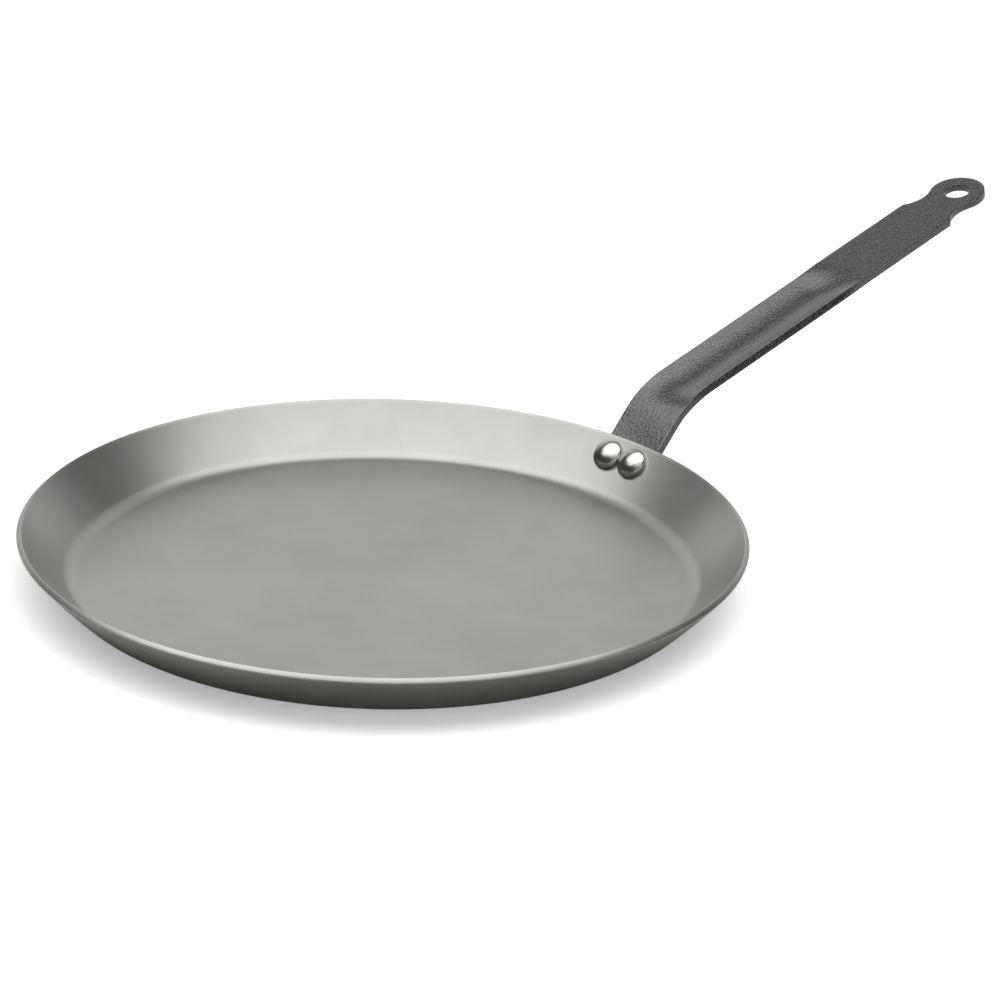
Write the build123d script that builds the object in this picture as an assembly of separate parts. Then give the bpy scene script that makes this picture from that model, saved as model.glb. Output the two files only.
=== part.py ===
from build123d import *
from math import asin, atan2, cos, degrees, radians, sin, sqrt, tan
import os

# Crepe pan in millimetres. The origin is the middle of the base, on the surface that the pan
# stands on. +Z is up and the handle points along +X.

# Pan: one pressed steel sheet
rim_diameter = 300.0  # over the outer corner of the rim
pan_height = 23.0  # from the standing surface to the top of the rim
sheet = 2.5  # thickness of the steel sheet
bend_radius = 10.0  # inside radius between the floor and the wall
foot_slope = 44.0  # degrees, slope of the wall just above the bend
rim_slope = 49.0  # degrees, slope of the wall at the rim
rim_ease = 0.3  # radius on the two corners of the cut rim

# Handle: one bent steel strip
strip_width = 28.1
strip_thickness = 3.4
root_overlap = 19.0  # length of strip below the rim, flat against the wall
root_corner = 6.0  # radius on the two hidden corners of the root
root_slope = 47.0  # degrees, slope of the riveted root
root_length = 27.14  # from the rim to the corner where the lines of root and arm meet
strip_bend_radius = 46.4  # radius of the upper face in the bend
arm_slope = 14.5  # degrees, slope of the arm

# Channel pressed into the arm, its edges level with the flat tail
channel_depth = 3.2
channel_draw = 0.7  # how far it draws each edge of the strip in
channel_start = 22.0  # before the end of the bend, along the strip
channel_lead_in = 22.0  # length over which it reaches its depth
channel_length = 128.0  # from its start to its end
channel_lead_out = 20.0  # length over which it fades into the flat tail
flank_shares = (0.0, 0.75, 1.225, 1.225, 0.75, 0.0)  # of the depth, at even steps across

# Tail: flat plate with shoulders, a waist and a round eye to hang the pan by
eye_reach = 199.4  # from the corner of root and arm, along the arm
eye_inset = 1.35  # the eye is narrower than the strip by this much on each side
waist_inset = 4.0  # and the waist by this much
scoop_radius = 15.0  # hollow between shoulder and eye
shoulder_ease = 0.8
hang_hole_diameter = 11.8

# Rivets: two, side by side
rivet_pitch = 14.1
rivet_drop = 9.6  # from the rim to the rivets, along the wall
shank_diameter = 6.0
head_diameter = 13.9
head_edge = 0.7  # straight edge below the dome
head_dome = 3.6
tail_head_diameter = 11.0  # head formed on the outside of the handle
tail_head_height = 2.6
tail_head_seat = 1.0  # how far the formed head is drawn through before it is trimmed to the strip

# Fits
hole_clearance = 0.05  # round each shank
seat_gap = 0.03  # between the strip and the wall
cut_overrun = 10.0

# The strip is lofted through this many steps
bend_steps = 6
arm_steps = 13


# Pan profile, worked out from the sizes above
def polar(centre, radius, slope):
    """Point of an arc whose surface has the given slope in degrees, as (distance out, height)."""
    return (
        centre[0] + radius * sin(radians(slope)),
        centre[1] - radius * cos(radians(slope)),
    )


rim_radius = rim_diameter / 2
rim_inner_radius = rim_radius - sheet * sin(radians(rim_slope))
rim_outer_height = pan_height - sheet * cos(radians(rim_slope))
bend_rise = bend_radius * (1 - cos(radians(foot_slope)))
wall_radius = (pan_height - sheet - bend_rise) / (
    cos(radians(foot_slope)) - cos(radians(rim_slope))
)
wall_centre = (
    rim_inner_radius - wall_radius * sin(radians(rim_slope)),
    pan_height + wall_radius * cos(radians(rim_slope)),
)
base_radius = wall_centre[0] + (wall_radius - bend_radius) * sin(radians(foot_slope))
bend_centre = (base_radius, sheet + bend_radius)


def slope_arc(centre, radius, first, last):
    """Arc between two slopes in degrees."""
    return ThreePointArc(
        polar(centre, radius, first),
        polar(centre, radius, (first + last) / 2),
        polar(centre, radius, last),
    )


def sheet_profile(extra):
    """Half section of the sheet, from the axis to the rim, made thicker outwards by extra."""
    outer = sheet + extra
    outline = [
        Line((0, -extra), (base_radius, -extra)),
        slope_arc(bend_centre, bend_radius + outer, 0, foot_slope),
        slope_arc(wall_centre, wall_radius + outer, foot_slope, rim_slope),
        Line(
            polar(wall_centre, wall_radius + outer, rim_slope),
            polar(wall_centre, wall_radius, rim_slope),
        ),
        slope_arc(wall_centre, wall_radius, rim_slope, foot_slope),
        slope_arc(bend_centre, bend_radius, foot_slope, 0),
        Line((base_radius, sheet), (0, sheet)),
        Line((0, sheet), (0, -extra)),
    ]
    return make_face(outline)


def turned(profile):
    """Full turn of a half section about the vertical axis."""
    return revolve(Plane.XZ * profile, Axis.Z, 360)


# Rivet places
rivet_slope = rim_slope - degrees(rivet_drop / wall_radius)
rivet_point = polar(wall_centre, wall_radius, rivet_slope)
rivet_turn = degrees(asin(rivet_pitch / 2 / rivet_point[0]))


def rivet_plane(side):
    """Plane on the inner face of the wall, with its normal into the pan. side is +1 or -1."""
    turn = radians(side * rivet_turn)
    out = Vector(cos(turn), sin(turn), 0)
    inward = Vector(0, 0, cos(radians(rivet_slope))) - out * sin(radians(rivet_slope))
    return Plane(
        origin=out * rivet_point[0] + Vector(0, 0, rivet_point[1]),
        x_dir=(-sin(turn), cos(turn), 0),
        z_dir=inward,
    )


def rivet_hole(side):
    """Cutter for the shank's hole through wall and strip."""
    return rivet_plane(side) * Cylinder(
        shank_diameter / 2 + hole_clearance,
        2 * (sheet + strip_thickness + cut_overrun),
    )


def make_pan():
    """Floor, bend and flared wall in one sheet, with the rim's corners eased."""
    profile = sheet_profile(0)
    rim_corners = profile.vertices().sort_by(Axis.Y)[-2:]
    body = turned(fillet(rim_corners, rim_ease))
    for side in (1, -1):
        body -= rivet_hole(side)
    return body


# Path of the strip's upper face, in the handle's middle plane
seat = (sqrt(rim_radius**2 - (strip_width / 2) ** 2), rim_outer_height)
corner = (
    seat[0] + root_length * cos(radians(root_slope)),
    seat[1] + root_length * sin(radians(root_slope)),
)
strip_turn = root_slope - arm_slope
bend_tangent = strip_bend_radius * tan(radians(strip_turn) / 2)
bend_length = strip_bend_radius * radians(strip_turn)


def strip_plane(run):
    """Section plane at a run along the strip, from the start of its bend: local X is across
    the strip towards +Y and local Y is out of the upper face."""
    slope = root_slope - strip_turn * min(max(run / bend_length, 0), 1)
    start = (
        corner[0] - bend_tangent * cos(radians(root_slope)),
        corner[1] - bend_tangent * sin(radians(root_slope)),
    )
    centre = (
        start[0] + strip_bend_radius * sin(radians(root_slope)),
        start[1] - strip_bend_radius * cos(radians(root_slope)),
    )
    along = run - bend_length if run > bend_length else min(run, 0)
    x = centre[0] - strip_bend_radius * sin(radians(slope)) + along * cos(radians(slope))
    z = centre[1] + strip_bend_radius * cos(radians(slope)) + along * sin(radians(slope))
    return Plane(
        origin=(x, 0, z),
        x_dir=(0, 1, 0),
        z_dir=(cos(radians(slope)), 0, sin(radians(slope))),
    )


def ease_in(share):
    """Smooth step from 0 to 1."""
    share = min(max(share, 0), 1)
    return share * share * (3 - 2 * share)


channel_from = bend_length - channel_start
channel_to = channel_from + channel_length


def depth_at(run):
    """Depth of the channel at a run along the strip."""
    lead_in = ease_in((run - channel_from) / channel_lead_in)
    lead_out = ease_in((channel_to - run) / channel_lead_out)
    return channel_depth * lead_in * lead_out


def strip_section(run):
    """Closed section of the strip at a run along it."""
    depth = depth_at(run)
    half = strip_width / 2 - channel_draw * depth / channel_depth
    step = 2 * half / (len(flank_shares) - 1)
    flank = atan2(flank_shares[1] * depth, step)
    top = [(i * step - half, -share * depth) for i, share in enumerate(flank_shares)]
    lower_corner = (half + strip_thickness * sin(flank), -strip_thickness * cos(flank))
    bottom = [(x, y - strip_thickness) for x, y in top]
    bottom[0] = (-lower_corner[0], lower_corner[1])
    bottom[-1] = lower_corner
    outline = [
        Bezier(*top),
        Line(top[-1], bottom[-1]),
        Bezier(*reversed(bottom)),
        Line(bottom[0], top[0]),
    ]
    return strip_plane(run) * make_face(outline)


root_from = bend_tangent - root_length - root_overlap
tail_from = channel_to
arm_zero = bend_length - bend_tangent  # run at which the lines of root and arm would meet


def make_root():
    """Flat lower end of the strip, with its corners rounded, up to the bend."""
    length = -root_from
    plate = Box(strip_width, strip_thickness, length, align=(Align.CENTER, Align.MAX, Align.MIN))
    ends = plate.edges().filter_by(Axis.Y).group_by(Axis.Z)[0]
    return strip_plane(root_from) * fillet(ends, root_corner)


def make_arm():
    """Bend and channelled arm, lofted through sections of the strip."""
    bend_runs = [bend_length * i / bend_steps for i in range(bend_steps)]
    arm_length = tail_from - bend_length
    arm_runs = [bend_length + arm_length * i / arm_steps for i in range(arm_steps + 1)]
    return loft([strip_section(run) for run in bend_runs + arm_runs])


def tail_outline():
    """Face of the tail plate with its hanging hole: local X runs along the arm, from the end of
    the channel."""
    half = strip_width / 2
    waist = half - waist_inset
    eye_radius = half - eye_inset
    eye_x = eye_reach - (tail_from - arm_zero)
    scoop_rise = waist + scoop_radius
    scoop_x = eye_x - sqrt((eye_radius + scoop_radius) ** 2 - scoop_rise**2)
    shoulder_x = scoop_x - sqrt(scoop_radius**2 - (scoop_rise - half) ** 2)
    # The scoop runs into the eye on the line between their middles
    eye_share = eye_radius / (eye_radius + scoop_radius)
    meet = (eye_x + eye_share * (scoop_x - eye_x), eye_share * scoop_rise)
    outline = [
        Line((0, -half), (0, half)),
        ThreePointArc(meet, (eye_x + eye_radius, 0), (meet[0], -meet[1])),
    ]
    for side in (1, -1):
        shoulder = (shoulder_x, side * half)
        outline += [
            Line((0, side * half), shoulder),
            ThreePointArc(shoulder, (scoop_x, side * waist), (meet[0], side * meet[1])),
        ]
    plate = make_face(outline)
    shoulders = plate.vertices().sort_by(Axis.X)[2:4]
    return fillet(shoulders, shoulder_ease) - Pos(eye_x, 0) * Circle(hang_hole_diameter / 2)


def make_tail():
    """Flat plate with shoulders, waist, eye and hanging hole."""
    section = strip_plane(tail_from)
    lying = Plane(origin=section.origin, x_dir=section.z_dir, z_dir=section.y_dir)
    return extrude(lying * tail_outline(), -strip_thickness)


def make_handle():
    """The whole strip: root, bend, channelled arm and tail, cut to sit on the wall."""
    strip = make_root() + make_arm() + make_tail()
    strip -= turned(sheet_profile(seat_gap))
    for side in (1, -1):
        strip -= rivet_hole(side)
    return strip


def dome(radius, height):
    """Half of a flattened ball, on the plane z = 0."""
    outline = [
        EllipticalCenterArc((0, 0), radius, height, arc_size=90),
        Line((0, height), (0, 0)),
        Line((0, 0), (radius, 0)),
    ]
    return turned(make_face(outline))


def make_rivet(side, pan, strip):
    """Domed head inside the pan, shank, and formed head outside, trimmed to what they clamp."""
    edge = Cylinder(head_diameter / 2, head_edge, align=(Align.CENTER, Align.CENTER, Align.MIN))
    head = edge + Pos(0, 0, head_edge) * dome(head_diameter / 2, head_dome)
    grip = sheet + strip_thickness
    shank = Cylinder(shank_diameter / 2, grip, align=(Align.CENTER, Align.CENTER, Align.MAX))
    formed = Rot(180, 0, 0) * (
        Cylinder(
            tail_head_diameter / 2,
            tail_head_seat,
            align=(Align.CENTER, Align.CENTER, Align.MAX),
        )
        + dome(tail_head_diameter / 2, tail_head_height)
    )
    rivet = rivet_plane(side) * (head + shank + Pos(0, 0, -grip) * formed)
    return rivet - pan - strip


def main():
    """Build every piece and write its STEP file."""
    os.makedirs("parts", exist_ok=True)
    pan = make_pan()
    strip = make_handle()
    pieces = {
        "pan_body": pan,
        "handle": strip,
        "rivet_left": make_rivet(1, pan, strip),
        "rivet_right": make_rivet(-1, pan, strip),
    }
    for name, piece in pieces.items():
        export_step(piece, f"parts/{name}.step")


main()
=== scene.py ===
"""Crepe pan in bare carbon steel, with a coated strip handle and two rivets, on a white table.

Everything is in metres and in the part's own frame: the origin is the middle of the base, +Z is
up and the handle points along +X.
"""

import logging
from dataclasses import dataclass
from enum import Enum
from math import asin, comb, cos, pi, radians, sin, sqrt, tan

import bmesh
import bpy
from mathutils import Matrix, Vector


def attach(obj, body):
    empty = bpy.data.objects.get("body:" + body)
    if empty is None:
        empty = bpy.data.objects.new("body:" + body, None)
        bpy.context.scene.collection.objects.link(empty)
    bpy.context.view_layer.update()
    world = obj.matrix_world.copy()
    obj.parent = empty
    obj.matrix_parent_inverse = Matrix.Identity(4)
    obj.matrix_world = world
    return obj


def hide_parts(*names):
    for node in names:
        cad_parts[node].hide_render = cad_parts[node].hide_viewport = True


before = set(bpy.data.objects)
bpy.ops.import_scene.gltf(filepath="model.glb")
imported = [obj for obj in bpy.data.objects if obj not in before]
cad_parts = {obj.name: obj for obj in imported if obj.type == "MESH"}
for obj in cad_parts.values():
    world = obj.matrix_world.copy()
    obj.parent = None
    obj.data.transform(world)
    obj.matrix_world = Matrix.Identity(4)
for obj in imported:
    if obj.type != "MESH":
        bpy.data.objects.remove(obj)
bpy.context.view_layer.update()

LOG = logging.getLogger("crepe_pan")
MM = 0.001
BODY = "root"
WELD = 0.001 * MM  # points nearer than this are one
CREASE = radians(40)  # an edge past this angle stays sharp

# Sockets of the colour form of the Mix node, which have no names of their own
MIX_A = 6
MIX_B = 7
MIX_COLOUR = 2

# The sRGB curve is a straight line up to its knee, and a power above it
BYTE = 255
KNEE_SHARE = 0.04045
KNEE_SLOPE = 12.92
CURVE_OFFSET = 0.055
CURVE_POWER = 2.4


class Slot(Enum):
    """Material slots of the record."""

    PAN = "pan_steel"
    HANDLE = "handle_coating"
    RIVET = "rivet_steel"


class Side(Enum):
    """The two rivets, as seen from the pan's middle along the handle."""

    LEFT = 1
    RIGHT = -1


class Course(Enum):
    """How a value goes from its start to its end."""

    SOFT = "SMOOTHSTEP"
    EVEN = "LINEAR"


def linear(code: str) -> tuple[float, float, float, float]:
    """Turn an sRGB hex code into an opaque linear colour.

    Args:
        code: Six hex digits after a hash sign.

    Returns:
        Linear red, green and blue, and full alpha.
    """
    shares = [int(code[i : i + 2], 16) / BYTE for i in (1, 3, 5)]
    red, green, blue = [
        share / KNEE_SLOPE
        if share <= KNEE_SHARE
        else ((share + CURVE_OFFSET) / (1 + CURVE_OFFSET)) ** CURVE_POWER
        for share in shares
    ]
    return red, green, blue, 1.0


def ease_in(share: float) -> float:
    """Smooth step from 0 to 1."""
    share = min(max(share, 0.0), 1.0)
    return share * share * (3 - 2 * share)


def steps(first: float, last: float, count: int) -> list[float]:
    """Even steps from first to last, both included."""
    return [first + (last - first) * i / count for i in range(count + 1)]


def add(
    tree: bpy.types.NodeTree,
    kind: str,
    inputs: dict[str | int, object] | None = None,
    **settings: object,
) -> bpy.types.Node:
    """Add a node to a tree.

    Args:
        tree: The tree that gets the node.
        kind: Type name of the node.
        inputs: Input name or number to a value, or to the output that it is linked from.
        **settings: Properties of the node.

    Returns:
        The new node.
    """
    node = tree.nodes.new(kind)
    for name, value in settings.items():
        setattr(node, name, value)
    for key, value in (inputs or {}).items():
        if isinstance(value, bpy.types.NodeSocket):
            tree.links.new(value, node.inputs[key])
        else:
            node.inputs[key].default_value = value
    return node


def fade(
    tree: bpy.types.NodeTree,
    value: bpy.types.NodeSocket,
    span: tuple[float, float],
    first: bpy.types.NodeSocket | float,
    last: bpy.types.NodeSocket | float,
    course: Course = Course.SOFT,
) -> bpy.types.NodeSocket:
    """Go from one value to another as a third crosses a span.

    Args:
        tree: The tree that gets the node.
        value: What crosses the span.
        span: Start and end of the span.
        first: Result at its start and before it.
        last: Result at its end and past it.
        course: How the result goes from first to last.

    Returns:
        The result.
    """
    node = add(
        tree,
        "ShaderNodeMapRange",
        {
            "Value": value,
            "From Min": span[0],
            "From Max": span[1],
            "To Min": first,
            "To Max": last,
        },
        interpolation_type=course.value,
    )
    return node.outputs["Result"]


def new_material(name: str) -> tuple[bpy.types.Material, bpy.types.NodeTree]:
    """Make a material with an empty tree.

    Args:
        name: The material's name.

    Returns:
        The material and its tree.
    """
    material = bpy.data.materials.new(name)
    material.use_nodes = True
    material.node_tree.nodes.clear()
    return material, material.node_tree


# Finishes


@dataclass(frozen=True)
class BareSteel:
    """Pickled and blasted carbon-steel sheet, pressed and left bare.

    It is a grey metal with a satin sheen: fine grit softens every reflection, and the mill
    leaves faint clouds of lighter and darker grey with a slightly warm stain here and there.
    """

    name: str = "blasted_carbon_steel"
    dark: str = "#979693"
    light: str = "#a1a09d"
    stain: str = "#a2a099"
    cloud_size: float = 70.0 * MM
    cloud_span: tuple[float, float] = (0.35, 0.65)  # of the noise, from dark to light
    stain_size: float = 48.0 * MM
    stain_span: tuple[float, float] = (0.56, 0.74)  # of the noise, from clean to full stain
    grit_size: float = 0.7 * MM  # drawn coarser than the real grit, which is too fine to show
    grit_depth: float = 0.008 * MM
    roughness: float = 0.37

    def material(self) -> bpy.types.Material:
        """Build the material.

        Returns:
            The material.
        """
        material, tree = new_material(self.name)
        place = add(tree, "ShaderNodeTexCoord").outputs["Object"]
        cloud = add(
            tree,
            "ShaderNodeTexNoise",
            {"Vector": place, "Scale": 1 / self.cloud_size, "Detail": 4.0, "Roughness": 0.6},
        )
        cloud_share = fade(
            tree, cloud.outputs["Fac"], self.cloud_span, 0.0, 1.0, Course.EVEN
        )
        grey = add(
            tree,
            "ShaderNodeMix",
            {"Factor": cloud_share, MIX_A: linear(self.dark), MIX_B: linear(self.light)},
            data_type="RGBA",
        )
        stain = add(
            tree,
            "ShaderNodeTexNoise",
            {
                "Vector": place,
                "Scale": 1 / self.stain_size,
                "Detail": 5.0,
                "Roughness": 0.65,
                "Distortion": 0.6,
            },
        )
        stain_share = fade(
            tree, stain.outputs["Fac"], self.stain_span, 0.0, 1.0, Course.EVEN
        )
        stained = add(
            tree,
            "ShaderNodeMix",
            {
                "Factor": stain_share,
                MIX_A: grey.outputs[MIX_COLOUR],
                MIX_B: linear(self.stain),
            },
            data_type="RGBA",
        )
        grit = add(
            tree,
            "ShaderNodeTexNoise",
            {"Vector": place, "Scale": 1 / self.grit_size, "Detail": 2.0},
        )
        bump = add(
            tree,
            "ShaderNodeBump",
            {"Height": grit.outputs["Fac"], "Distance": self.grit_depth, "Strength": 1.0},
        )
        shader = add(
            tree,
            "ShaderNodeBsdfPrincipled",
            {
                "Base Color": stained.outputs[MIX_COLOUR],
                "Metallic": 1.0,
                "Roughness": self.roughness,
                "Normal": bump.outputs["Normal"],
            },
        )
        add(tree, "ShaderNodeOutputMaterial", {"Surface": shader.outputs["BSDF"]})
        return material


@dataclass(frozen=True)
class PowderCoat:
    """Textured powder coating with metal flakes, baked on to the steel strip.

    It is nearly black and half matt: the coat draws up into a fine wrinkle as it bakes, and
    flakes near its surface catch the light, so that highlights break into grains.
    """

    name: str = "wrinkle_powder_coat"
    dark: str = "#131313"
    flake: str = "#6c6c6a"
    flake_size: float = 0.75 * MM  # drawn coarser than the real flakes, which are too fine to show
    flake_span: tuple[float, float] = (0.46, 0.74)  # of the noise, from no flake to full flake
    flake_metal: float = 0.7  # how metallic a full flake is, under its skin of coat
    wrinkle_size: float = 1.2 * MM
    wrinkle_depth: float = 0.17 * MM
    roughness: float = 0.25
    shine: float = 1.0  # twice the usual, for the graphite in the coat

    def material(self) -> bpy.types.Material:
        """Build the material.

        Returns:
            The material.
        """
        material, tree = new_material(self.name)
        place = add(tree, "ShaderNodeTexCoord").outputs["Object"]
        wrinkle = add(
            tree,
            "ShaderNodeTexNoise",
            {
                "Vector": place,
                "Scale": 1 / self.wrinkle_size,
                "Detail": 2.0,
                "Roughness": 0.55,
                "Distortion": 0.4,
            },
        )
        flakes = add(
            tree,
            "ShaderNodeTexNoise",
            {"Vector": place, "Scale": 1 / self.flake_size, "Detail": 1.0},
        )
        flake_share = fade(tree, flakes.outputs["Fac"], self.flake_span, 0.0, 1.0)
        metal_share = fade(tree, flakes.outputs["Fac"], self.flake_span, 0.0, self.flake_metal)
        grey = add(
            tree,
            "ShaderNodeMix",
            {"Factor": flake_share, MIX_A: linear(self.dark), MIX_B: linear(self.flake)},
            data_type="RGBA",
        )
        bump = add(
            tree,
            "ShaderNodeBump",
            {
                "Height": wrinkle.outputs["Fac"],
                "Distance": self.wrinkle_depth,
                "Strength": 1.0,
            },
        )
        shader = add(
            tree,
            "ShaderNodeBsdfPrincipled",
            {
                "Base Color": grey.outputs[MIX_COLOUR],
                "Metallic": metal_share,
                "Roughness": self.roughness,
                "Specular IOR Level": self.shine,
                "Normal": bump.outputs["Normal"],
            },
        )
        add(tree, "ShaderNodeOutputMaterial", {"Surface": shader.outputs["BSDF"]})
        return material


@dataclass(frozen=True)
class RivetSteel:
    """Bright mild steel, cold headed and tumbled, so it has a soft shine."""

    name: str = "tumbled_rivet_steel"
    colour: str = "#b0aeaa"
    roughness: float = 0.23
    dent_size: float = 2.2 * MM
    dent_depth: float = 0.1 * MM

    def material(self) -> bpy.types.Material:
        """Build the material.

        Returns:
            The material.
        """
        material, tree = new_material(self.name)
        place = add(tree, "ShaderNodeTexCoord").outputs["Object"]
        dents = add(
            tree,
            "ShaderNodeTexNoise",
            {"Vector": place, "Scale": 1 / self.dent_size, "Detail": 3.0, "Roughness": 0.6},
        )
        bump = add(
            tree,
            "ShaderNodeBump",
            {"Height": dents.outputs["Fac"], "Distance": self.dent_depth, "Strength": 1.0},
        )
        shader = add(
            tree,
            "ShaderNodeBsdfPrincipled",
            {
                "Base Color": linear(self.colour),
                "Metallic": 1.0,
                "Roughness": self.roughness,
                "Normal": bump.outputs["Normal"],
            },
        )
        add(tree, "ShaderNodeOutputMaterial", {"Surface": shader.outputs["BSDF"]})
        return material


@dataclass(frozen=True)
class WhiteTable:
    """Matt white table that fades into the background, under the pan's soft shadow, which is
    partly real and partly painted.

    Near the pan a little light is added for the eye alone, less of it under the wall than past
    the rim, which paints the shadow there darker. Further out the lamps no longer
    reach, so the added light rises to white there, and gloss and glass see it too.
    """

    name: str = "white_table"
    colour: str = "#dcdcda"
    lift_in_painted_shadow: float = 0.38  # light added under the wall, where 1 is white; lower than past the rim, so it paints shadow there
    open_lift: float = 0.525  # light added past the rim
    far_lift: float = 1.0  # light added far out
    painted_shadow_span: tuple[float, float] = (138.0 * MM, 162.0 * MM)  # where the painted shadow gives way to the open
    far: tuple[float, float] = (600.0 * MM, 1500.0 * MM)  # where the open gives way to far out
    # Both are measured from 12 mm to the left of the pan's middle, as the photographer sees it, so
    # the painted shadow is darker on the left and lighter on the right
    painted_shadow_middle: tuple[float, float, float] = (-8.6 * MM, 8.4 * MM, 0.0)

    def material(self) -> bpy.types.Material:
        """Build the material.

        Returns:
            The material.
        """
        material, tree = new_material(self.name)
        ray = add(tree, "ShaderNodeLightPath")
        seen = add(
            tree,
            "ShaderNodeMath",
            {0: ray.outputs["Is Camera Ray"], 1: ray.outputs["Is Glossy Ray"]},
            operation="MAXIMUM",
        )
        seen_through = add(
            tree,
            "ShaderNodeMath",
            {0: seen.outputs["Value"], 1: ray.outputs["Is Transmission Ray"]},
            operation="MAXIMUM",
        )
        place = add(tree, "ShaderNodeTexCoord").outputs["Object"]
        reach = add(
            tree, "ShaderNodeVectorMath", {0: place, 1: self.painted_shadow_middle}, operation="DISTANCE"
        ).outputs["Value"]
        # Less glow under the wall than past the rim: painted shadow, on top of the table's real
        # shadow from the lamps
        lift_with_painted_shadow = fade(tree, reach, self.painted_shadow_span, self.lift_in_painted_shadow, self.open_lift)
        lift = fade(tree, reach, self.far, lift_with_painted_shadow, self.far_lift)
        seen_share = fade(
            tree, reach, self.far, ray.outputs["Is Camera Ray"], seen_through.outputs["Value"]
        )
        strength = add(tree, "ShaderNodeMath", {0: lift, 1: seen_share}, operation="MULTIPLY")
        matt = add(tree, "ShaderNodeBsdfDiffuse", {"Color": linear(self.colour)})
        glow = add(
            tree,
            "ShaderNodeEmission",
            {"Color": linear("#ffffff"), "Strength": strength.outputs["Value"]},
        )
        both = add(
            tree, "ShaderNodeAddShader", {0: matt.outputs["BSDF"], 1: glow.outputs["Emission"]}
        )
        add(tree, "ShaderNodeOutputMaterial", {"Surface": both.outputs["Shader"]})
        return material


# Pieces


def make_piece(
    name: str,
    shape: bmesh.types.BMesh,
    material: bpy.types.Material,
    node: str,
) -> bpy.types.Object:
    """Turn a finished shape into a piece that rides on the pan's body.

    Args:
        name: Name of the piece.
        shape: The mesh, which is used up.
        material: Its finish.
        node: The node that the piece stands for.

    Returns:
        The piece.
    """
    bmesh.ops.remove_doubles(shape, verts=shape.verts, dist=WELD)
    bmesh.ops.recalc_face_normals(shape, faces=shape.faces)
    mesh = bpy.data.meshes.new(name)
    shape.to_mesh(mesh)
    shape.free()
    mesh.shade_smooth()
    mesh.set_sharp_from_angle(angle=CREASE)
    mesh.materials.append(material)
    piece = bpy.data.objects.new(name, mesh)
    bpy.context.scene.collection.objects.link(piece)
    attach(piece, BODY)
    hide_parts(node)
    LOG.info("%s: %d faces, stands for %s", name, len(mesh.polygons), node)
    return piece


def spun(profile: list[tuple[float, float]], turns: int) -> bmesh.types.BMesh:
    """Spin a profile about the vertical axis.

    Args:
        profile: Points as (distance from the axis, height), with both ends on the axis.
        turns: Number of steps in the full turn.

    Returns:
        The closed shape.
    """
    shape = bmesh.new()
    points = [shape.verts.new((reach, 0.0, height)) for reach, height in profile]
    lines = [shape.edges.new(pair) for pair in zip(points, points[1:])]
    bmesh.ops.spin(
        shape,
        geom=points + lines,
        cent=(0, 0, 0),
        axis=(0, 0, 1),
        angle=2 * pi,
        steps=turns,
        use_merge=True,
    )
    bmesh.ops.remove_doubles(shape, verts=shape.verts, dist=WELD)
    return shape


@dataclass
class Dish:
    """Floor, bend and flared wall of the pan, pressed from one disc of sheet."""

    rim_radius: float = 150.0 * MM
    height: float = 23.0 * MM
    sheet: float = 2.5 * MM
    bend_radius: float = 10.0 * MM
    foot_slope: float = radians(44.0)
    rim_slope: float = radians(49.0)
    rim_ease: float = 0.35 * MM
    turns: int = 288
    floor_rings: int = 16
    arc_steps: int = 16
    ease_steps: int = 4

    def __post_init__(self) -> None:
        """Work out the wall's arc and the place of the bend."""
        rim_inner = self.rim_radius - self.sheet * sin(self.rim_slope)
        bend_rise = self.bend_radius * (1 - cos(self.foot_slope))
        rise = self.height - self.sheet - bend_rise
        self.wall_radius = rise / (cos(self.foot_slope) - cos(self.rim_slope))
        self.wall_centre = (
            rim_inner - self.wall_radius * sin(self.rim_slope),
            self.height + self.wall_radius * cos(self.rim_slope),
        )
        reach = (self.wall_radius - self.bend_radius) * sin(self.foot_slope)
        self.base_radius = self.wall_centre[0] + reach
        self.bend_centre = (self.base_radius, self.sheet + self.bend_radius)

    def arc(
        self, centre: tuple[float, float], radius: float, first: float, last: float
    ) -> list[tuple[float, float]]:
        """Points of an arc between two slopes of the surface.

        Args:
            centre: Middle of the arc, as (distance from the axis, height).
            radius: Radius of the arc.
            first: Slope at its start.
            last: Slope at its end.

        Returns:
            The points, both ends included.
        """
        return [
            (centre[0] + radius * sin(slope), centre[1] - radius * cos(slope))
            for slope in steps(first, last, self.arc_steps)
        ]

    def lip(self) -> list[tuple[float, float]]:
        """Cut rim, square to the wall, with its two corners eased.

        Returns:
            Its points, from the wall's inner face to its outer one.
        """
        along = Vector((cos(self.rim_slope), sin(self.rim_slope)))
        outward = Vector((sin(self.rim_slope), -cos(self.rim_slope)))
        inner = Vector(self.wall_centre) + outward * self.wall_radius
        ease = self.rim_ease
        first = inner + (outward - along) * ease
        second = inner + outward * (self.sheet - ease) - along * ease
        turns = steps(0, pi / 2, self.ease_steps)
        points = [first + (along * sin(a) - outward * cos(a)) * ease for a in turns]
        points += [second + (along * cos(a) + outward * sin(a)) * ease for a in turns]
        return [tuple(point) for point in points]

    def profile(self) -> list[tuple[float, float]]:
        """Half section of the sheet.

        Returns:
            Its points, from the axis over the rim and back to the axis.
        """
        foot, rim = self.foot_slope, self.rim_slope
        radii = steps(0, self.base_radius, self.floor_rings)
        floor = [(radius, self.sheet) for radius in radii[:-1]]
        base = [(radius, 0.0) for radius in reversed(radii[:-1])]
        inner = self.arc(self.bend_centre, self.bend_radius, 0, foot)
        inner += self.arc(self.wall_centre, self.wall_radius, foot, rim)[1:-1]
        outer = self.arc(self.wall_centre, self.wall_radius + self.sheet, rim, foot)[1:]
        outer += self.arc(self.bend_centre, self.bend_radius + self.sheet, foot, 0)[1:]
        return floor + inner + self.lip() + outer + base

    def build(self) -> bpy.types.Object:
        """Make the dish."""
        shape = spun(self.profile(), self.turns)
        return make_piece("steel_dish", shape, BareSteel().material(), "pan_body")


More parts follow.
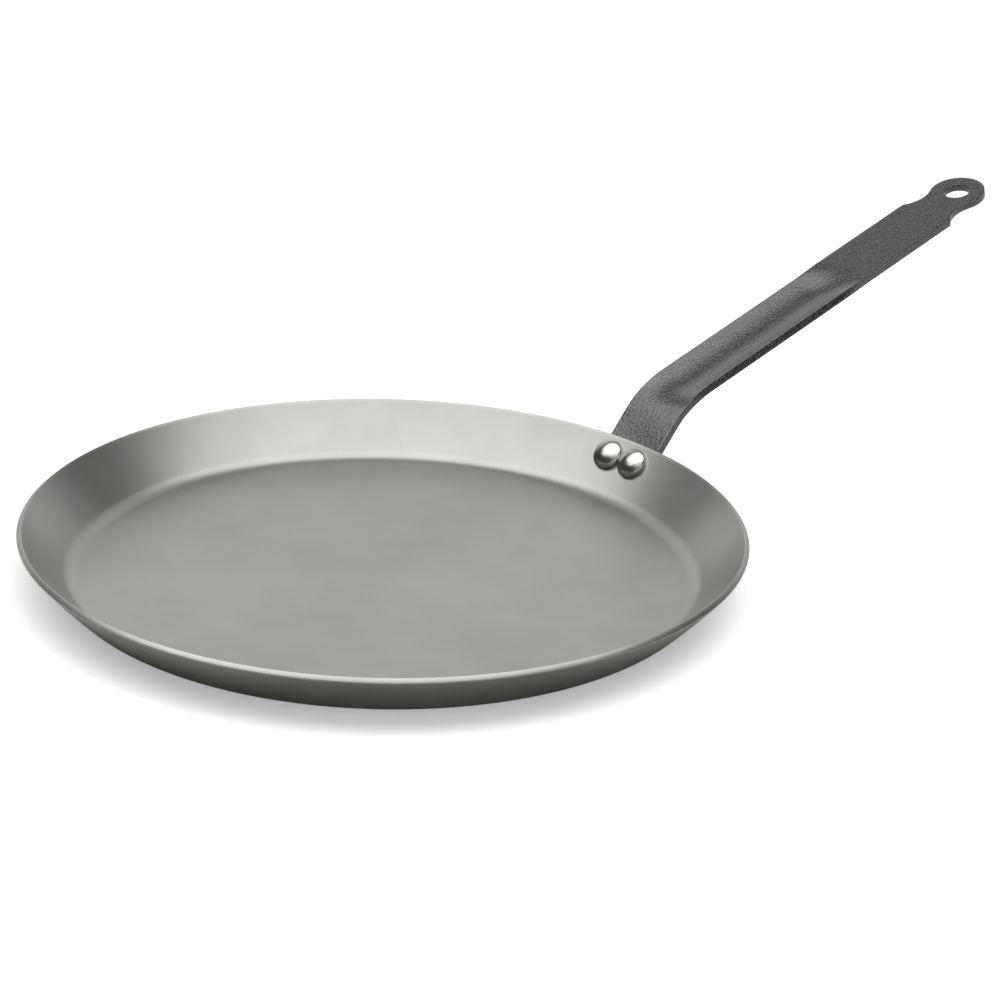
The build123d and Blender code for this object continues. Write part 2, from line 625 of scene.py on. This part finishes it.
@dataclass
class StripHandle:
    """Strip of steel, cut to a flat blank, pressed with a channel and bent.

    The blank lies with X along the strip from the start of its bend, Y across it, and its
    upper face at height 0.
    """

    dish: Dish
    width: float = 28.1 * MM
    thickness: float = 3.4 * MM
    root_overlap: float = 19.0 * MM
    root_corner: float = 6.0 * MM
    root_slope: float = radians(47.0)
    root_length: float = 27.14 * MM
    bend_radius: float = 46.4 * MM
    arm_slope: float = radians(14.5)
    channel_depth: float = 3.2 * MM
    channel_draw: float = 0.7 * MM  # how far it draws each edge of the strip in
    channel_start: float = 22.0 * MM
    channel_lead_in: float = 22.0 * MM
    channel_length: float = 128.0 * MM
    channel_lead_out: float = 20.0 * MM
    flank_shares: tuple[float, ...] = (0.0, 0.75, 1.225, 1.225, 0.75, 0.0)
    eye_reach: float = 199.4 * MM
    eye_inset: float = 1.35 * MM
    waist_inset: float = 4.0 * MM
    scoop_radius: float = 15.0 * MM
    hole_radius: float = 5.9 * MM
    shoulder_ease: float = 0.8 * MM
    edge_ease: float = 0.6 * MM
    sharp_angle: float = radians(60)  # an edge past it is eased
    touch: float = 0.1 * MM  # points within it of a corner belong to the corner
    grid_weld: float = 0.01 * MM  # the neck's last row and the eye's circle meet within it
    row_pitch: float = 1.6 * MM
    corner_steps: int = 8
    neck_spare: int = 2  # more rows on the neck than the pitch gives, because they curve
    columns: int = 24
    eye_steps: int = 44
    eye_rings: int = 5
    ease_steps: int = 3

    def __post_init__(self) -> None:
        """Work out the path of the strip and the outline of its tail."""
        self.half = self.width / 2
        dish = self.dish
        self.seat = Vector(
            (
                sqrt(dish.rim_radius**2 - self.half**2),
                dish.height - dish.sheet * cos(dish.rim_slope),
            )
        )
        self.turn = self.root_slope - self.arm_slope
        tangent = self.bend_radius * tan(self.turn / 2)
        self.bend_length = self.bend_radius * self.turn
        self.rim_run = tangent - self.root_length
        self.root_from = self.rim_run - self.root_overlap
        self.channel_from = self.bend_length - self.channel_start
        self.tail_from = self.channel_from + self.channel_length
        self.eye_run = self.bend_length - tangent + self.eye_reach
        root_way = Vector((cos(self.root_slope), sin(self.root_slope)))
        self.bend_from = self.seat + root_way * (self.root_length - tangent)
        self.eye_radius = self.half - self.eye_inset
        self.waist = self.half - self.waist_inset
        self.scoop_rise = self.waist + self.scoop_radius
        between = self.eye_radius + self.scoop_radius
        self.scoop_run = self.eye_run - sqrt(between**2 - self.scoop_rise**2)
        drop = sqrt(self.scoop_radius**2 - (self.scoop_rise - self.half) ** 2)
        self.shoulder_run = self.scoop_run - drop
        eye_share = self.eye_radius / between
        self.meet_run = self.eye_run + eye_share * (self.scoop_run - self.eye_run)
        self.meet_half = eye_share * self.scoop_rise

    def half_width(self, run: float) -> float:
        """Half the blank's width, up to where the scoops of its waist meet the eye.

        Args:
            run: Place along the blank.

        Returns:
            Distance from the middle to the edge.
        """
        if run > self.shoulder_run:
            along = run - self.scoop_run
            return self.scoop_rise - sqrt(self.scoop_radius**2 - along**2)
        corner = self.root_corner - (run - self.root_from)
        if corner > 0:
            return self.half - self.root_corner + sqrt(self.root_corner**2 - corner**2)
        return self.half

    def rows(self) -> list[float]:
        """Rows of points across the blank.

        Returns:
            The run of each row along the blank.
        """
        corner = [
            self.root_from + self.root_corner * (1 - cos(a))
            for a in steps(0, pi / 2, self.corner_steps)
        ]
        corners_end = self.root_from + self.root_corner
        plain = round((self.shoulder_run - corners_end) / self.row_pitch)
        neck = round((self.meet_run - self.shoulder_run) / self.row_pitch) + self.neck_spare
        runs = corner[:-1] + steps(corners_end, self.shoulder_run, plain)
        return runs + steps(self.shoulder_run, self.meet_run, neck)[1:]

    def blank(self) -> bmesh.types.BMesh:
        """Cut the flat blank, with rounded root, shoulders, waist, eye and hanging hole.

        Returns:
            The closed blank, with sharp edges.
        """
        shape = bmesh.new()
        runs = self.rows()
        bmesh.ops.create_grid(
            shape, x_segments=len(runs) - 1, y_segments=self.columns, size=1.0
        )
        for point in shape.verts:
            run = runs[round((point.co.x + 1) / 2 * (len(runs) - 1))]
            # Rows curve more and more past the shoulders, until the last lies on the eye's circle
            neck = max(run - self.shoulder_run, 0.0) / (self.meet_run - self.shoulder_run)
            bow = sqrt(self.eye_radius**2 - (point.co.y * self.meet_half) ** 2)
            bow -= self.eye_run - self.meet_run
            point.co = (run - bow * neck, point.co.y * self.half_width(run), 0.0)
        self.add_eye(shape)
        bmesh.ops.remove_doubles(shape, verts=shape.verts, dist=self.grid_weld)
        upper = list(shape.faces)
        lower = bmesh.ops.extrude_face_region(shape, geom=upper, use_keep_orig=True)["geom"]
        moved = [item for item in lower if isinstance(item, bmesh.types.BMVert)]
        bmesh.ops.translate(shape, verts=moved, vec=(0, 0, -self.thickness))
        bmesh.ops.recalc_face_normals(shape, faces=shape.faces)
        return shape

    def add_eye(self, shape: bmesh.types.BMesh) -> None:
        """Add rings of faces between the eye's circle and the hanging hole.

        Args:
            shape: The grid up to the eye, which gets the faces.
        """
        reach = asin(self.meet_half / self.eye_radius)
        neck = [
            pi - asin(self.meet_half * share / self.eye_radius)
            for share in steps(1, -1, self.columns)
        ]
        tip = steps(pi + reach, 3 * pi - reach, self.eye_steps)[1:-1]
        angles = neck + tip
        ring = bmesh.ops.create_circle(shape, segments=len(angles), radius=1.0)["verts"]
        middle = Vector((self.eye_run, 0, 0))
        for point, angle in zip(ring, angles):
            point.co = middle + Vector((cos(angle), sin(angle), 0)) * self.eye_radius
        border = list({edge for point in ring for edge in point.link_edges})
        for radius in steps(self.eye_radius, self.hole_radius, self.eye_rings)[1:]:
            made = bmesh.ops.extrude_edge_only(shape, edges=border)["geom"]
            border = [item for item in made if isinstance(item, bmesh.types.BMEdge)]
            for point in {point for edge in border for point in edge.verts}:
                point.co = middle + (point.co - middle).normalized() * radius

    def ease_edges(self, shape: bmesh.types.BMesh) -> None:
        """Round the corners of the shoulders, then the blank's edges past its root.

        Args:
            shape: The blank, which is changed.
        """
        corner = self.shoulder_run
        corners_end = self.root_from + self.root_corner
        shoulders = [
            edge
            for edge in shape.edges
            if all(abs(point.co.x - corner) < self.touch for point in edge.verts)
            and all(abs(point.co.y) > self.half - self.touch for point in edge.verts)
        ]
        for edges, ease in ((shoulders, self.shoulder_ease), (None, self.edge_ease)):
            sharp = edges or [
                edge
                for edge in shape.edges
                if edge.calc_face_angle(0.0) > self.sharp_angle
                and all(point.co.x > corners_end for point in edge.verts)
            ]
            bmesh.ops.bevel(
                shape,
                geom=sharp,
                offset=ease,
                offset_type="OFFSET",
                affect="EDGES",
                segments=self.ease_steps,
                profile=0.5,
                material=-1,
                clamp_overlap=True,
            )

    def channel_shape(self, across: float) -> tuple[float, float]:
        """Depth of the channel at a place across the strip, and its slope there.

        The shares of its flanks pull on a Bezier curve, evenly spaced from edge to edge.

        Args:
            across: Distance from the middle of the strip.

        Returns:
            Share of the channel's depth, and the change of that share along Y.
        """
        share = (across + self.half) / self.width
        marks = self.flank_shares
        top = len(marks) - 1
        depth = sum(
            comb(top, i) * marks[i] * share**i * (1 - share) ** (top - i)
            for i in range(top + 1)
        )
        rises = [after - before for before, after in zip(marks, marks[1:])]
        slope = sum(
            comb(top - 1, i) * rises[i] * share**i * (1 - share) ** (top - 1 - i)
            for i in range(top)
        )
        return depth, slope * top / self.width

    def press_channel(self, shape: bmesh.types.BMesh) -> None:
        """Press the channel into the arm, which draws its edges in and keeps its thickness.

        Args:
            shape: The blank, which is changed.
        """
        for point in shape.verts:
            run, across, height = point.co
            lead_in = ease_in((run - self.channel_from) / self.channel_lead_in)
            lead_out = ease_in((self.tail_from - run) / self.channel_lead_out)
            press = lead_in * lead_out
            if press:
                share, change = self.channel_shape(across)
                narrowed = 1 - self.channel_draw * press / self.half
                slope = -self.channel_depth * press * change / narrowed
                tilt = sqrt(1 + slope * slope)
                point.co.y = across * narrowed - height * slope / tilt
                point.co.z = -self.channel_depth * press * share + height / tilt

    def bend(self, shape: bmesh.types.BMesh) -> None:
        """Bend the strip to its path, with its root pressed to the wall.

        Args:
            shape: The pressed blank, which is changed.
        """
        dish = self.dish
        curve = sin(self.root_slope) / (2 * dish.rim_radius)
        outer_radius = dish.wall_radius + dish.sheet
        centre = self.bend_from + self.bend_radius * Vector(
            (sin(self.root_slope), -cos(self.root_slope))
        )
        for point in shape.verts:
            run, across, height = point.co
            wrapped = 1 - ease_in((run - self.rim_run) / -self.rim_run)
            height -= (self.half**2 - across**2) * curve * wrapped
            down = max(self.rim_run - run, 0.0)
            height += down * down / (2 * outer_radius)
            height -= down * sin(dish.rim_slope - self.root_slope)
            slope = self.root_slope - self.turn * min(max(run / self.bend_length, 0.0), 1.0)
            straight = run - self.bend_length if run > self.bend_length else min(run, 0.0)
            radius = self.bend_radius + height
            place = centre + Vector((-sin(slope), cos(slope))) * radius
            place += Vector((cos(slope), sin(slope))) * straight
            point.co = (place.x, across, place.y)

    def build(self) -> bpy.types.Object:
        """Make the handle.

        Returns:
            The piece.
        """
        shape = self.blank()
        self.ease_edges(shape)
        self.press_channel(shape)
        self.bend(shape)
        return make_piece(
            "coated_handle", shape, PowderCoat().material(), "handle"
        )


@dataclass
class Rivets:
    """The two rivets, side by side, that clamp the handle's root to the wall."""

    dish: Dish
    grip: float = 5.9 * MM
    pitch: float = 14.1 * MM
    drop: float = 9.6 * MM
    shank_radius: float = 3.0 * MM
    head_radius: float = 6.95 * MM
    head_edge: float = 0.7 * MM
    head_dome: float = 3.6 * MM
    formed_radius: float = 5.5 * MM
    formed_height: float = 2.6 * MM
    formed_seat: float = 1.0 * MM  # how far the formed head reaches into the curved strip
    arc_steps: int = 14
    turns: int = 72

    def dome(self, radius: float, height: float) -> list[tuple[float, float]]:
        """Points of half a flattened ball, from its top to its edge."""
        return [(radius * sin(a), height * cos(a)) for a in steps(0, pi / 2, self.arc_steps)]

    def profile(self) -> list[tuple[float, float]]:
        """Half section of a rivet: height 0 is the wall's inner face, and up is into the pan.

        Returns:
            Its points, from the top of the head to that of the formed head.
        """
        head = [(x, z + self.head_edge) for x, z in self.dome(self.head_radius, self.head_dome)]
        formed = [
            (x, -self.grip - z) for x, z in self.dome(self.formed_radius, self.formed_height)
        ]
        seat = self.formed_seat - self.grip
        shank = [(self.shank_radius, 0.0), (self.shank_radius, seat), (self.formed_radius, seat)]
        return head + [(self.head_radius, 0.0)] + shank + formed[::-1]

    def place(self, side: Side) -> Matrix:
        """Frame on the inner face of the wall, with its Z axis into the pan.

        Args:
            side: Which of the two rivets.

        Returns:
            The frame, in that of the part.
        """
        dish = self.dish
        slope = dish.rim_slope - self.drop / dish.wall_radius
        reach = dish.wall_centre[0] + dish.wall_radius * sin(slope)
        height = dish.wall_centre[1] - dish.wall_radius * cos(slope)
        turn = side.value * asin(self.pitch / 2 / reach)
        spot = Matrix.Translation((reach, 0, height)) @ Matrix.Rotation(-slope, 4, "Y")
        return Matrix.Rotation(turn, 4, "Z") @ spot

    def build(self) -> list[bpy.types.Object]:
        """Make both rivets.

        Returns:
            The two pieces, left and right.
        """
        material = RivetSteel().material()
        pieces = []
        for side in Side:
            shape = spun(self.profile(), self.turns)
            bmesh.ops.transform(shape, matrix=self.place(side), verts=shape.verts)
            label = side.name.lower()
            pieces.append(
                make_piece(
                    f"steel_rivet_{label}", shape, material, f"rivet_{label}"
                )
            )
        return pieces


# Studio


class Outline(Enum):
    """Outline of a lamp's face, with the share of its oblong that it fills."""

    OBLONG = ("RECTANGLE", 1.0)
    ROUND = ("ELLIPSE", pi / 4)


@dataclass(frozen=True)
class Softbox:
    """Lamp that faces straight down, placed as seen by the photographer.

    The place is (to the right, towards the camera, up) from the pan's middle.
    """

    name: str
    outline: Outline
    place: tuple[float, float, float]
    size: tuple[float, float]
    glow: float  # brightness of its face, where 1 is white paper
    turn: float = 0.0  # about the vertical, seen from above
    colour: str = "#ffffff"


@dataclass
class Studio:
    """White table, softboxes, surroundings and the camera."""

    azimuth: float = radians(-44.18)  # of the camera, about the pan
    elevation: float = radians(23.19)
    distance: float = 1835.6 * MM
    base_rise: float = 1.5 * MM  # height of the point that it is placed about
    yaw: float = radians(1.602)  # how far it looks to the right of that point
    pitch: float = radians(22.177)  # how far it looks down
    roll: float = radians(1.799)
    lens: float = 160.5  # in millimetres, not metres, and so is the sensor
    sensor: float = 36.0
    sight: float = 100.0  # how far the camera sees
    table_size: float = 12.0  # from its middle to each side
    table_drop: float = 0.05 * MM
    softboxes: tuple[Softbox, ...] = (
        Softbox(
            name="scrim",
            outline=Outline.ROUND,
            place=(-0.23, -0.11, 1.35),
            size=(3.04, 1.82),
            glow=2.5,
            turn=radians(-3),
        ),
        Softbox(
            name="front",
            outline=Outline.OBLONG,
            place=(0.0, 1.15, 1.35),
            size=(1.9, 0.5),
            glow=1.1,
        ),
    )
    backdrop_spread: tuple[float, float] = (0.58, 0.80)  # cosines of its sides, outer and inner
    backdrop_foot: tuple[float, float] = (sin(radians(-3)), sin(radians(9)))
    backdrop_top: tuple[float, float] = (sin(radians(31)), sin(radians(43)))
    backdrop_glow: float = 1.11  # brightness, as that of a lamp's face
    foot_glow: float = 0.12
    window_way: tuple[float, float, float] = (0.5, 1.0, 0.0)  # as seen by the photographer
    window_spread: tuple[float, float] = (0.45, 0.95)  # cosines of its sides, outer and inner
    window_glow: float = 0.7
    room_glow: float = 0.06

    def as_seen(self, point: tuple[float, float, float]) -> Vector:
        """Turn (to the right, towards the camera, up) into the part's frame."""
        right, near, up = point
        return Matrix.Rotation(self.azimuth, 3, "Z") @ Vector((right, -near, up))

    def set_table(self) -> None:
        """Lay the white table just under the base."""
        shape = bmesh.new()
        bmesh.ops.create_grid(shape, x_segments=1, y_segments=1, size=self.table_size)
        bmesh.ops.translate(shape, verts=shape.verts, vec=(0, 0, -self.table_drop))
        mesh = bpy.data.meshes.new("table")
        shape.to_mesh(mesh)
        shape.free()
        mesh.materials.append(WhiteTable().material())
        table = bpy.data.objects.new("table", mesh)
        bpy.context.scene.collection.objects.link(table)

    def set_softbox(self, box: Softbox) -> None:
        """Hang one softbox.

        Args:
            box: The softbox.
        """
        shape, filled_share = box.outline.value
        lamp = bpy.data.lights.new(box.name, "AREA")
        lamp.shape = shape
        lamp.size, lamp.size_y = box.size
        lamp.energy = box.glow * pi * box.size[0] * box.size[1] * filled_share
        lamp.color = linear(box.colour)[:3]
        holder = bpy.data.objects.new(box.name, lamp)
        holder.location = self.as_seen(box.place)
        holder.rotation_euler.z = self.azimuth + box.turn
        bpy.context.scene.collection.objects.link(holder)

    def facing(
        self, tree: bpy.types.NodeTree, point: tuple[float, float, float]
    ) -> bpy.types.NodeSocket:
        """Cosine between the direction looked in and one given as seen by the photographer.

        Args:
            tree: The world's tree.
            point: Direction as (to the right, towards the camera, up).

        Returns:
            The cosine.
        """
        way = add(tree, "ShaderNodeTexCoord").outputs["Generated"]
        aim = self.as_seen(point).normalized()
        node = add(tree, "ShaderNodeVectorMath", {0: way, 1: aim}, operation="DOT_PRODUCT")
        return node.outputs["Value"]

    def set_surroundings(self) -> None:
        """White to the eye; for light and reflections, a bright backdrop in a dim room."""
        world = bpy.data.worlds.new("surroundings")
        bpy.context.scene.world = world
        world.use_nodes = True
        tree = world.node_tree
        tree.nodes.clear()
        window = self.facing(tree, self.window_way)
        room = fade(tree, window, self.window_spread, self.room_glow, self.window_glow)
        above = self.facing(tree, (0, 0, 1))
        lit = fade(tree, above, self.backdrop_foot, self.foot_glow, self.backdrop_glow)
        behind = self.facing(tree, (0, -1, 0))
        backdrop = fade(tree, behind, self.backdrop_spread, room, lit)
        glow = fade(tree, above, self.backdrop_top, backdrop, room)
        surround = add(
            tree, "ShaderNodeBackground", {"Color": linear("#ffffff"), "Strength": glow}
        )
        white = add(tree, "ShaderNodeBackground", {"Color": linear("#ffffff")})
        ray = add(tree, "ShaderNodeLightPath")
        both = add(
            tree,
            "ShaderNodeMixShader",
            {
                0: ray.outputs["Is Camera Ray"],
                1: surround.outputs["Background"],
                2: white.outputs["Background"],
            },
        )
        add(tree, "ShaderNodeOutputWorld", {"Surface": both.outputs["Shader"]})

    def set_camera(self) -> None:
        """Put the camera where the photograph was taken from."""
        data = bpy.data.cameras.new("camera")
        data.sensor_width = self.sensor
        data.lens = self.lens
        data.clip_end = self.sight
        camera = bpy.data.objects.new("camera", data)
        forward = self.as_seen(
            (sin(self.yaw) * cos(self.pitch), -cos(self.yaw) * cos(self.pitch), -sin(self.pitch))
        )
        right = forward.cross(Vector((0, 0, 1))).normalized()
        up = right.cross(forward)
        turned = Matrix.Rotation(-self.roll, 3, forward)
        right, up = turned @ right, turned @ up
        axes = Matrix((right, up, -forward)).transposed().to_4x4()
        spot = self.as_seen(
            (0.0, self.distance * cos(self.elevation), self.distance * sin(self.elevation))
        )
        spot.z += self.base_rise
        camera.matrix_world = Matrix.Translation(spot) @ axes
        bpy.context.scene.collection.objects.link(camera)
        bpy.context.scene.camera = camera

    def build(self) -> None:
        """Set up the whole studio."""
        self.set_camera()
        self.set_table()
        self.set_surroundings()
        for box in self.softboxes:
            self.set_softbox(box)
        bpy.context.scene.view_settings.view_transform = "Standard"


def main() -> None:
    """Build the studio and every piece."""
    logging.basicConfig(level=logging.INFO, format="%(message)s")
    Studio().build()
    dish = Dish()
    dish.build()
    StripHandle(dish).build()
    Rivets(dish).build()


if __name__ == "__main__":
    main()
